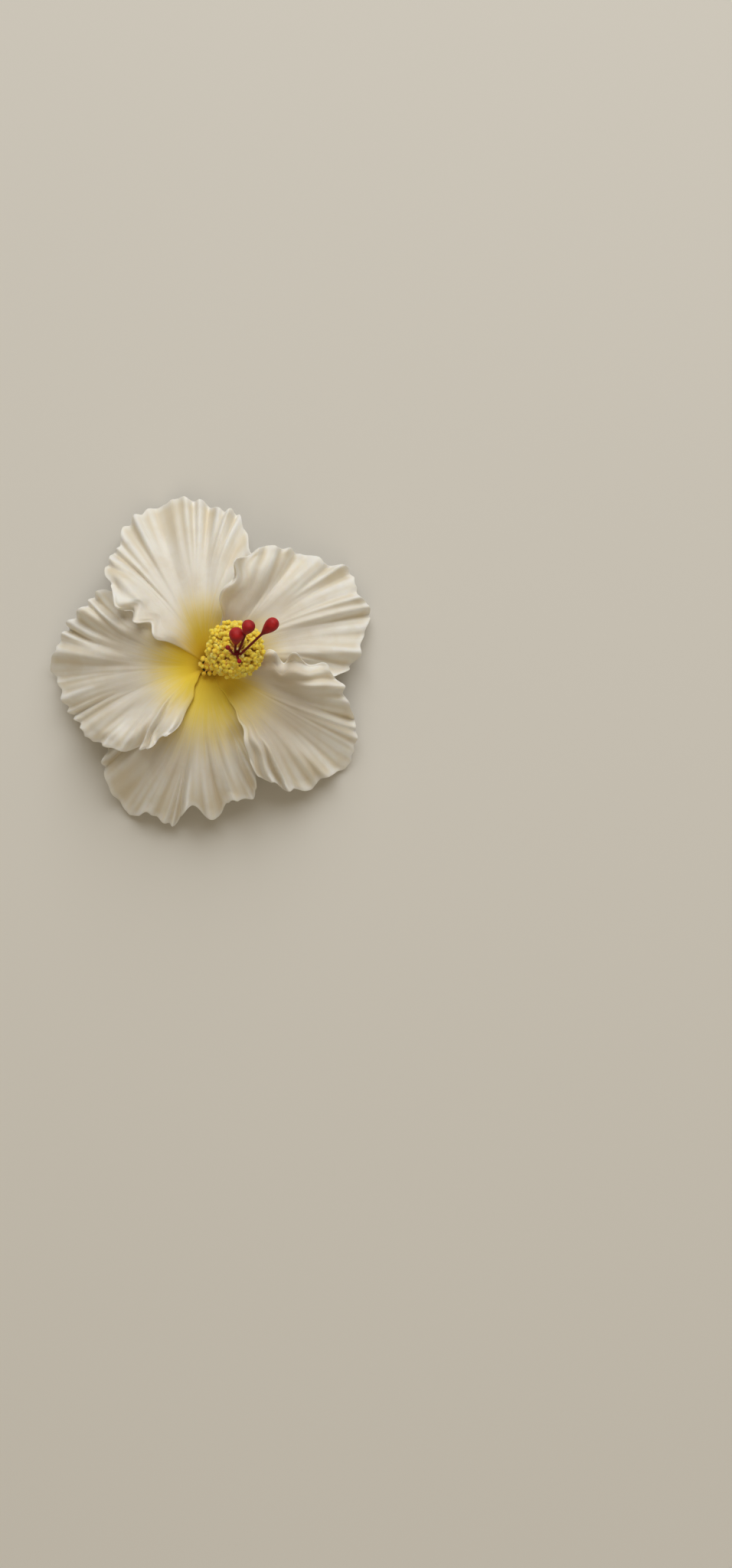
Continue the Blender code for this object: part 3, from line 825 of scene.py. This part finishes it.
def petal_tints(petal, across, reach, radius):
    """What the material reads: how far out of the throat a point is, its painted shade over the inner petal
    and its painted highlight along the rim.
    """
    lean = 1 + petal.yellow_lean * np.clip(across, 0, 1) ** 2
    side_rim = ramp(np.abs(across), RIM_ACROSS, 1) * ramp(reach, *SIDE_RIM_REACHES)
    return {
        "throat": radius / (petal.yellow * MM) * lean,
        # Painted shade over the inner petal, fading out towards the margin.
        "warmth": petal.warmth * (1 - ramp(reach, *PAINTED_SHADE_REACHES)),
        # Painted highlight along the far margin and the outer side margins.
        "rim": np.maximum(ramp(reach, RIM_REACH, 1), side_rim),
    }


def heights_below(trees, places):
    """For each place, the height that clears the petals below, or minus infinity where none lies below."""
    wanted = np.full(len(places), -np.inf)
    down = Vector((0, 0, -1))
    for index, (x, y) in enumerate(places):
        for tree in trees:
            hit, normal, _, _ = tree.ray_cast(Vector((x, y, RAY_START)), down)
            if hit is None:
                continue
            clearance = (PETAL_THICKNESS + PETAL_CLEARANCE) / max(abs(normal.z), STEEPEST_FLOOR)
            wanted[index] = max(wanted[index], hit.z + clearance)
    return wanted


def draped(heights, wanted):
    """The heights, raised to clear what is wanted, with the rise spread smoothly over the petal."""
    needed = np.clip(wanted - heights, 0, None)
    for _ in range(LIFT_WIDENING):
        needed = neighbours(needed).max(axis=0)
    lift = needed
    for _ in range(LIFT_SPREADING):
        lift = np.maximum(needed, neighbours(lift).mean(axis=0))
    for _ in range(LIFT_SMOOTHING):
        lift = neighbours(lift).mean(axis=0)
    return heights + lift


def make_petal(petal, trees, paint):
    """One petal as a closed sheet. Its face is added to the trees that the next petals are draped over."""
    rows = np.linspace(0, 1, PETAL_ROWS)
    columns = np.linspace(-1, 1, PETAL_COLUMNS)
    reach, across = np.meshgrid(rows, columns, indexing="ij")
    degrees, radius, outer = petal_places(petal, across, reach)
    pleat_height, valley = pleats(petal, outer, reach)
    heights = petal_heights(petal, across, reach, degrees, radius) + pleat_height
    angle = np.radians(petal.angle + degrees)
    x = THROAT.x + radius * np.cos(angle)
    y = THROAT.y + radius * np.sin(angle)
    wanted = heights_below(trees, np.stack([x.ravel(), y.ravel()], axis=1)).reshape(x.shape)
    face = np.stack([x, y, draped(heights, wanted)], axis=-1)
    thickness = PETAL_THICKNESS + (MARGIN_THICKNESS - PETAL_THICKNESS) * ramp(reach, THINNING_FROM, 1)
    points, faces, source = sheet(face, thickness, NORMAL_BLUR)
    uv = np.stack([across / 2 + 0.5, reach], axis=-1).reshape(-1, 2)[source]
    # The valleys' depth darkens the colour there as painted shade.
    tints = {**petal_tints(petal, across, reach, radius), "valley": valley}
    values = {key: tint.ravel()[source] for key, tint in tints.items()}
    fine_piece(petal.name, points, faces, paint, "petal", uv, values)
    quads = grid_faces(PETAL_ROWS, PETAL_COLUMNS)
    trees.append(BVHTree.FromPolygons([Vector(point) for point in face.reshape(-1, 3)], quads))


# ---- column, stamens and stigmas


def from_throat(point):
    """A point given in millimetres from the throat's foot, in metres."""
    return THROAT + Vector(point) * MM


def spline_through(points, values, steps):
    """Points and values along a smooth curve through the given ones."""
    before = [points[0] * 2 - points[1], *points, points[-1] * 2 - points[-2]]
    smooth_points = []
    smooth_values = []
    for index in range(len(points) - 1):
        a, b, c, d = before[index : index + 4]
        for step in range(steps):
            t = step / steps
            slope = (c - a) * t
            bend = (2 * a - 5 * b + 4 * c - d) * t**2
            twist = (3 * b - a - 3 * c + d) * t**3
            smooth_points.append(b + (slope + bend + twist) / 2)
            smooth_values.append(values[index] + (values[index + 1] - values[index]) * t)
    return [*smooth_points, points[-1]], [*smooth_values, values[-1]]


def tube_rings(points, radii, sides):
    """Rings of points round a line, without twist from one to the next."""
    rings = []
    side = (points[1] - points[0]).orthogonal().normalized()
    for index, point in enumerate(points):
        before = points[max(index - 1, 0)]
        after = points[min(index + 1, len(points) - 1)]
        axis = (after - before).normalized()
        side = (side - axis * side.dot(axis)).normalized()
        third = axis.cross(side)
        for step in range(sides):
            turn = 2 * math.pi * step / sides
            rings.append(point + (side * math.cos(turn) + third * math.sin(turn)) * radii[index])
    return rings


def tube_mesh(points, radii, sides, start=0):
    """Points and faces of a closed round tube along the points."""
    rings = tube_rings(points, radii, sides)
    return [*rings, points[0], points[-1]], capped_faces(len(points), sides, start)


def column_curve():
    """The middle line of the staminal column and its radius at each point."""
    points = [from_throat(point) for point in COLUMN_ROUTE]
    return spline_through(points, [radius * MM for radius in COLUMN_RADII], COLUMN_STEPS)


def along_column(share):
    """A point of the column's middle line, its direction and its radius, at a share of its length."""
    points, radii = column_curve()
    place = share * (len(points) - 1)
    index = min(int(place), len(points) - 2)
    middle = points[index].lerp(points[index + 1], place - index)
    return middle, (points[index + 1] - points[index]).normalized(), radii[index]


def column_end():
    """The last point of the column's middle line, and its direction there."""
    points, _ = column_curve()
    return points[-1], (points[-1] - points[-2]).normalized()


def make_column(paint):
    """The column, with a bore for the style and a rounded lip at its tip."""
    bore, radii = column_curve()
    end, upward = column_end()
    outside = [*bore, *(end + upward * rise for rise, _ in COLUMN_LIP)]
    outer = [*radii, *(radii[-1] * share for _, share in COLUMN_LIP)]
    inner = [radius - COLUMN_WALL for radius in radii]
    outer_rings = tube_rings(outside, outer, COLUMN_SIDES)
    inner_rings = np.array(tube_rings(bore, inner, COLUMN_SIDES)).reshape(-1, COLUMN_SIDES, 3)
    rings = np.concatenate([np.array(outer_rings), inner_rings[::-1].reshape(-1, 3)])
    rows = len(rings) // COLUMN_SIDES
    faces = grid_faces(rows + 1, COLUMN_SIDES, around=True)
    faces = [[corner % len(rings) for corner in face] for face in faces]
    fine_piece("staminal_column", rings, faces, paint, "column")


def dome_stamens(total, top, shrinks, jitter, chance):
    """Anther places spread evenly over the dome, each with where on the column its filament starts."""
    for number in range(1, total + 1):
        share = (number - 0.5) / total
        height = math.cos(top) + (math.cos(DOME_FOOT) - math.cos(top)) * share
        turn = number * STAMEN_TURN
        side = Vector((math.cos(turn), math.sin(turn), 0)) * math.sqrt(1 - height**2)
        reach = DOME_RADIUS * shrinks[number % len(shrinks)]
        anther = from_throat(DOME_MIDDLE) + (side + DOME_TILT * height) * reach
        anther += Vector([chance.uniform(-1, 1) for _ in range(3)]) * jitter
        yield anther, STAMENS_TOP + (STAMENS_FOOT - STAMENS_TOP) * share


def low_stamens(chance):
    """Anther places close round the lower column, below the dome."""
    for number in range(1, LOW_STAMENS + 1):
        share = LOW_STAMENS_FOOT + (STAMENS_FOOT - LOW_STAMENS_FOOT) * number / LOW_STAMENS
        middle, axis, radius = along_column(share)
        side = axis.orthogonal().normalized()
        side.rotate(Quaternion(axis, number * STAMEN_TURN))
        reach = radius + chance.uniform(*LOW_STAMEN_REACH)
        yield middle + side * reach + axis * LOW_STAMEN_RISE, share


def stamen_mesh(anther, column_share, chance, start):
    """Points, faces and filament shares of one stamen: a thin filament and its lumpy, grooved anther."""
    middle, axis, radius = along_column(column_share)
    outward = anther - middle
    outward = (outward - axis * outward.dot(axis)).normalized()
    foot = middle + outward * radius * FILAMENT_ROOT
    along = (anther - foot).normalized()
    sag = axis * chance.uniform(*FILAMENT_SAGS)
    route = [foot.lerp(anther, share) + sag * sagging for share, _, sagging in FILAMENT_PROFILE]
    widths = [FILAMENT_RADIUS * width for _, width, _ in FILAMENT_PROFILE]
    points, faces = tube_mesh(*spline_through(route, widths, FILAMENT_STEPS), FILAMENT_SIDES, start)
    bead, bead_faces = anther_mesh(anther, along, chance, start + len(points))
    shares = [1.0] * len(points) + [0.0] * len(bead)
    return points + bead, faces + bead_faces, shares


def anther_mesh(middle, along, chance, start):
    """A kidney-shaped bead: a round ball with a groove across it and small lumps."""
    groove_side = along.orthogonal().normalized()
    groove_side.rotate(Quaternion(along, chance.uniform(0, 2 * math.pi)))
    third = along.cross(groove_side)
    size = ANTHER_RADIUS * chance.uniform(*ANTHER_SIZES)
    phase = chance.uniform(0, LUMP_PHASES)
    points = []
    for row in range(1, ANTHER_ROWS):
        polar = math.pi * (1 - row / ANTHER_ROWS)
        for column in range(ANTHER_COLUMNS):
            turn = 2 * math.pi * column / ANTHER_COLUMNS
            around = groove_side * math.cos(turn) + third * math.sin(turn)
            direction = along * math.cos(polar) + around * math.sin(polar)
            sideways = direction.dot(groove_side)
            stretch = ANTHER_STRETCH * abs(sideways)
            lump = math.sin(LUMPS_AROUND * turn + phase) * math.sin(LUMPS_ALONG * polar + phase)
            groove = math.exp(-((sideways / GROOVE_WIDTH) ** 2)) * max(direction.dot(along), 0)
            radius = size * (1 + stretch + LUMP_HEIGHT * lump - GROOVE_DEPTH * groove)
            points.append(middle + direction * radius)
    points += [middle - along * size, middle + along * size * ANTHER_TIP]
    return points, capped_faces(ANTHER_ROWS - 1, ANTHER_COLUMNS, start)


def make_stamens(paint):
    """The CAD model's stamens, each its own piece, and all the others as one piece."""
    chance = random.Random(STAMEN_SEED)
    for number, (anther, share) in enumerate(dome_stamens(CAD_STAMENS, DOME_TOP, (1.0,), 0, chance), 1):
        points, faces, shares = stamen_mesh(anther, share, chance, 0)
        fine_piece(f"stamen_{number:02d}", points, faces, paint, "stamen", values={"filament": shares})
    points, faces, shares = [], [], []
    between = dome_stamens(MORE_STAMENS, MORE_TOP, MORE_SHRINKS, MORE_JITTER, chance)
    for anther, share in [*between, *low_stamens(chance)]:
        more = stamen_mesh(anther, share, chance, len(points))
        points += more[0]
        faces += more[1]
        shares += more[2]
    mesh_object("stamens_between", points, faces, paint, "stamen", values={"filament": shares})


def make_style(paint):
    """The thread up the column's bore, from the ovary's top to just past the column's tip."""
    points, _ = column_curve()
    end, upward = column_end()
    foot = Vector((THROAT.x, THROAT.y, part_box("ovary")[1].z))
    route = [foot, *points[1:], end + upward * STYLE_OVERHANG]
    rings, faces = tube_mesh(route, [STYLE_RADIUS] * len(route), STYLE_SIDES)
    fine_piece("style", rings, faces, paint, "column")


def pad_width(share):
    """Half width of a drop-shaped pad at a share of its length, as a share of its fullest."""
    fullest = PAD_TAPER / (PAD_TAPER + PAD_ROUNDING)
    return (share / fullest) ** PAD_TAPER * ((1 - share) / (1 - fullest)) ** PAD_ROUNDING


def make_style_branch(order, name, pad_middle, pad_radius, pad_length, paint):
    """A thin red branch that bends up from the style's end and swells into its stigma pad."""
    end, upward = column_end()
    turn = BRANCH_RING_START + 2 * math.pi * order / len(STYLE_BRANCHES)
    ring = Vector((math.cos(turn), math.sin(turn), 0)) * BRANCH_RING
    root = end + upward * STYLE_OVERHANG * BRANCH_ROOT
    start = end + upward * (STYLE_OVERHANG + GAP) + ring
    middle = from_throat(pad_middle)
    along = (middle - start).normalized()
    neck = middle - along * pad_length * MM / 2
    stalk = [root, start, *(start.lerp(neck, share) for share in BRANCH_SHARES)]
    shares = np.sin(np.linspace(0, math.pi / 2, PAD_STEPS + 1))
    route = stalk + [neck + along * pad_length * MM * share for share in shares]
    fading = BRANCH_RADIUS * (1 - ramp(shares, *PAD_FADE))
    pad_radii = np.hypot(fading, pad_radius * MM * pad_width(shares))
    radii = [BRANCH_RADIUS] * len(stalk) + list(pad_radii)
    radii[-1] = BRANCH_RADIUS * PAD_TIP
    rings, faces = tube_mesh(route, radii, BRANCH_SIDES)
    redness = np.concatenate([np.zeros(len(stalk)), ramp(shares, *PAD_RED)])
    values = {"pad": np.concatenate([np.repeat(redness, BRANCH_SIDES), [0, 1]])}
    fine_piece(name, rings, faces, paint, "stigma", values=values)


# ---- green parts


def calyx_share(angle):
    """How far up the calyx's profile its edge reaches: to the end at a lobe's tip, less at a cleft."""
    lobe = np.abs(np.cos(angle * CALYX_LOBES / 2)) ** CALYX_LOBE_POINT
    last = len(CALYX_PROFILE) - 1
    return (CALYX_CLEFT + (last - CALYX_CLEFT) * lobe) / last


def round_grid(rows, columns):
    """A grid of the rows' values and of even turns round an axis."""
    return np.meshgrid(rows, np.arange(columns) * 2 * math.pi / columns, indexing="ij")


def around_throat(radius, turn, height):
    """Points round the throat's axis. Radius and height are in metres."""
    return np.stack([THROAT.x + radius * np.cos(turn), THROAT.y + radius * np.sin(turn), height], axis=-1)


def make_ovary(paint):
    """The egg-shaped ovary, with a groove between each of its five cells."""
    low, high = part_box("ovary")
    rise, turn = round_grid(np.linspace(math.pi, 0, OVARY_ROWS + 2)[1:-1], OVARY_COLUMNS)
    between_cells = np.abs(np.sin(turn * OVARY_CELLS / 2)) ** OVARY_GROOVE_SHARPNESS
    groove = 1 - OVARY_GROOVE * between_cells * np.sin(rise)
    radius = (high.x - low.x) / 2 * np.sin(rise) * groove
    height = low.z + (high.z - low.z) * (1 + np.cos(rise)) / 2
    ends = [(THROAT.x, THROAT.y, low.z), (THROAT.x, THROAT.y, high.z)]
    points = np.concatenate([around_throat(radius, turn, height).reshape(-1, 3), ends])
    across = np.abs((turn * OVARY_CELLS / (2 * math.pi)) % 1 - 0.5)
    uv = np.concatenate([np.stack([across, rise / math.pi], axis=-1).reshape(-1, 2), [(0, 1), (0, 0)]])
    fine_piece("ovary", points, capped_faces(OVARY_ROWS, OVARY_COLUMNS), paint, "ovary", uv)


def calyx_section(row, turn):
    """Distances from the throat's axis and heights over the calyx's outside, in millimetres."""
    corners = [Vector((radius, 0, height)) for radius, height in CALYX_PROFILE]
    outline, places = spline_through(corners, list(range(len(corners))), CALYX_STEPS)
    last = len(CALYX_PROFILE) - 1
    place = CALYX_START + (last * calyx_share(turn) - CALYX_START) * row
    radius = np.interp(place, places, [spot.x for spot in outline])
    height = np.interp(place, places, [spot.z for spot in outline])
    ribs = np.cos(turn * CALYX_LOBES * CALYX_RIBS_A_LOBE) * ramp(row, *CALYX_RIB_ROWS)
    return np.stack([radius + CALYX_RIB * ribs, height], axis=-1)


def calyx_shell(outside):
    """The calyx's outside, rounded rim and inside, as rows of points from foot to rim and back."""
    along = unit(np.gradient(outside, axis=0))
    inward = np.stack([-along[..., 1], along[..., 0]], axis=-1)
    half = CALYX_THICKNESS / 2
    rim = [
        outside[-1] + half * (inward[-1] * (1 - math.cos(bend)) + along[-1] * math.sin(bend))
        for bend in np.linspace(0, math.pi, RIM_STEPS + 1)[1:-1]
    ]
    inside = outside + inward * CALYX_THICKNESS
    return np.concatenate([outside, rim, inside[::-1]])


def make_calyx(paint):
    """The five-lobed cup behind the petals, with ribs up its lobes."""
    row, turn = round_grid(np.linspace(0, 1, CALYX_ROWS), CALYX_COLUMNS)
    shell = calyx_shell(calyx_section(row, turn))
    row = np.concatenate([row, np.ones((RIM_STEPS - 1, CALYX_COLUMNS)), row[::-1]])
    turn = np.broadcast_to(turn[0], row.shape)
    foot = CALYX_PROFILE[0][1]
    ends = [from_throat((0, 0, foot)), from_throat((0, 0, foot + CALYX_THICKNESS))]
    grid = around_throat(shell[..., 0] * MM, turn, shell[..., 1] * MM)
    points = np.concatenate([grid.reshape(-1, 3), ends])
    across = np.abs((turn * CALYX_LOBES / (2 * math.pi) + 0.5) % 1 - 0.5)
    uv = np.concatenate([np.stack([across, row], axis=-1).reshape(-1, 2), [(0, 0), (0, 0)]])
    fine_piece("calyx", points, capped_faces(len(shell), CALYX_COLUMNS), paint, "calyx", uv)


def make_bractlet(number, paint):
    """A narrow keeled leaf of the epicalyx."""
    turn = 2 * math.pi * (number - 1) / BRACTLET_COUNT
    outward = Vector((math.cos(turn), math.sin(turn), 0))
    sideways = Vector((-math.sin(turn), math.cos(turn), 0))
    middles = [from_throat((0, 0, height)) + outward * radius * MM for radius, height in BRACTLET_ROUTE]
    middles, widths = spline_through(middles, BRACTLET_HALF_WIDTHS, BRACTLET_STEPS)
    across = np.linspace(1, -1, BRACTLET_COLUMNS)
    keel = Vector((0, 0, BRACTLET_KEEL))
    face = np.array([
        [middle + sideways * width * MM * share + keel * share**2 for share in across]
        for middle, width in zip(middles, widths)
    ])
    face[..., 2] += BRACTLET_THICKNESS / 2
    points, faces, source = sheet(face, np.full(face.shape[:2], BRACTLET_THICKNESS))
    down, side = np.meshgrid(np.linspace(0, 1, len(middles)), across, indexing="ij")
    uv = np.stack([side / 2 + 0.5, down], axis=-1).reshape(-1, 2)[source]
    fine_piece(f"bractlet_{number}", points, faces, paint, "bractlet", uv)


def make_pedicel(paint):
    """The short stalk, with its cut end."""
    route = [from_throat(point) for point in PEDICEL_ROUTE]
    points, radii = spline_through(route, [radius * MM for radius in PEDICEL_RADII], PEDICEL_STEPS)
    rings, faces = tube_mesh(points, radii, PEDICEL_SIDES)
    around = np.tile(np.abs(np.linspace(-1, 1, PEDICEL_SIDES + 1)[:-1]), len(points))
    down = np.repeat(np.linspace(0, 1, len(points)), PEDICEL_SIDES)
    uv = np.concatenate([np.stack([around, down], axis=-1), [[0, 0], [0, 1]]])
    fine_piece("pedicel", rings, faces, paint, "stalk", uv)


# ---- studio


def make_floor():
    corners = [(x * FLOOR_HALF, y * FLOOR_HALF, 0) for x, y in ((-1, -1), (1, -1), (1, 1), (-1, 1))]
    mesh = bpy.data.meshes.new("floor")
    mesh.from_pydata(corners, [], [(0, 1, 2, 3)])
    mesh.materials.append(floor_material())
    add_object("floor", mesh)


def area_light(name, place, size, power, colour):
    """A round soft light that faces the bloom."""
    data = bpy.data.lights.new(name, "AREA")
    data.shape = "DISK"
    data.size = size
    data.energy = power
    data.color = colour
    light = add_object(name, data)
    light.location = place
    light.rotation_euler = (-place).to_track_quat("-Z", "Y").to_euler()


def make_lights():
    """A broad soft lamp beyond the top petal, a weak one opposite and a dim even fill."""
    for name, settings in LAMPS.items():
        area_light(name, *settings)
    world = bpy.data.worlds.new("studio")
    world.use_nodes = True
    background = world.node_tree.nodes["Background"]
    background.inputs["Color"].default_value = FILL_COLOUR
    background.inputs["Strength"].default_value = FILL_STRENGTH
    bpy.context.scene.world = world


def make_camera():
    data = bpy.data.cameras.new("camera")
    data.sensor_width = SENSOR
    data.lens = SENSOR * (CAMERA_HEIGHT - VIEW_LEVEL) / VIEW_LENGTH
    camera = add_object("camera", data)
    camera.location = THROAT + CAMERA_FROM_THROAT + Vector((0, 0, CAMERA_HEIGHT))
    bpy.context.scene.camera = camera


def main():
    make_camera()
    make_lights()
    make_floor()
    petal_paint = petal_material()
    trees = []
    for petal in PETALS:
        make_petal(petal, trees, petal_paint)
    column_paint = column_material()
    make_column(column_paint)
    make_style(column_paint)
    make_stamens(anther_material())
    stigma_paint = stigma_material()
    for order, branch in enumerate(STYLE_BRANCHES):
        make_style_branch(order, *branch, stigma_paint)
    make_ovary(green_material("ovary_skin"))
    make_calyx(green_material("calyx_leaf"))
    bractlet_paint = green_material("bractlet_leaf")
    for number in range(1, BRACTLET_COUNT + 1):
        make_bractlet(number, bractlet_paint)
    make_pedicel(green_material("stalk_skin"))
    bpy.context.scene.view_settings.view_transform = "Standard"


main()
